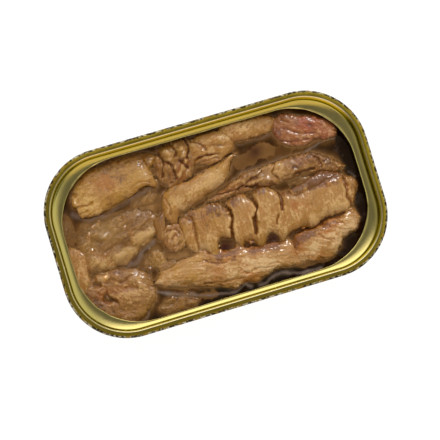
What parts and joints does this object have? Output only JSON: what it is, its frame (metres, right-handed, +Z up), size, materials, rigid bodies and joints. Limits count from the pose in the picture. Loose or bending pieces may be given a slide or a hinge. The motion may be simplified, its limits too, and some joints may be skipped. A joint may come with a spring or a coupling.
{
  "type": "opened tin of cat food",
  "caption": "Oblong gold-lacquered tin with its lid torn off, filled with cooked fish fillets standing in brown broth.",
  "frame": {"origin": "centre of the foot ring, on the plane the tin stands on", "axes": "+Z up, +X along the long side"},
  "size_m": [0.105, 0.0602, 0.024],
  "materials": {
    "can_body": "printed outside, gold lacquer inside",
    "lid_ring": "gold lacquer, glossy",
    "broth": "wet brown broth",
    "loin_centre_top": "cooked fish, moist",
    "loin_centre": "cooked fish, moist",
    "loin_lower_left": "cooked fish, moist",
    "loin_lower_right": "cooked fish, moist",
    "loin_strip_right": "cooked fish, moist",
    "loin_upper_left": "cooked fish, moist",
    "fillet_top_middle": "cooked fish, moist",
    "fillet_top_edge": "cooked fish, moist",
    "flakes_top": "cooked fish, moist",
    "fillet_pink": "cooked fish, moist",
    "slice_round": "cooked fish, moist",
    "flake_wedge": "cooked fish, moist",
    "chunk_lower_left": "cooked fish, moist",
    "piece_left_middle": "cooked fish, moist",
    "piece_left_edge": "cooked fish, moist",
    "piece_lower_edge": "cooked fish, moist"
  },
  "bodies": {
    "root": {"can_body": "can_body", "lid_ring": "lid_ring", "broth": "broth", "loin_centre_top": "loin_centre_top", "loin_centre": "loin_centre", "loin_lower_left": "loin_lower_left", "loin_lower_right": "loin_lower_right", "loin_strip_right": "loin_strip_right", "loin_upper_left": "loin_upper_left", "fillet_top_middle": "fillet_top_middle", "fillet_top_edge": "fillet_top_edge", "flakes_top": "flakes_top", "fillet_pink": "fillet_pink", "slice_round": "slice_round", "flake_wedge": "flake_wedge", "chunk_lower_left": "chunk_lower_left", "piece_left_middle": "piece_left_middle", "piece_left_edge": "piece_left_edge", "piece_lower_edge": "piece_lower_edge"}
  },
  "joints": []
}
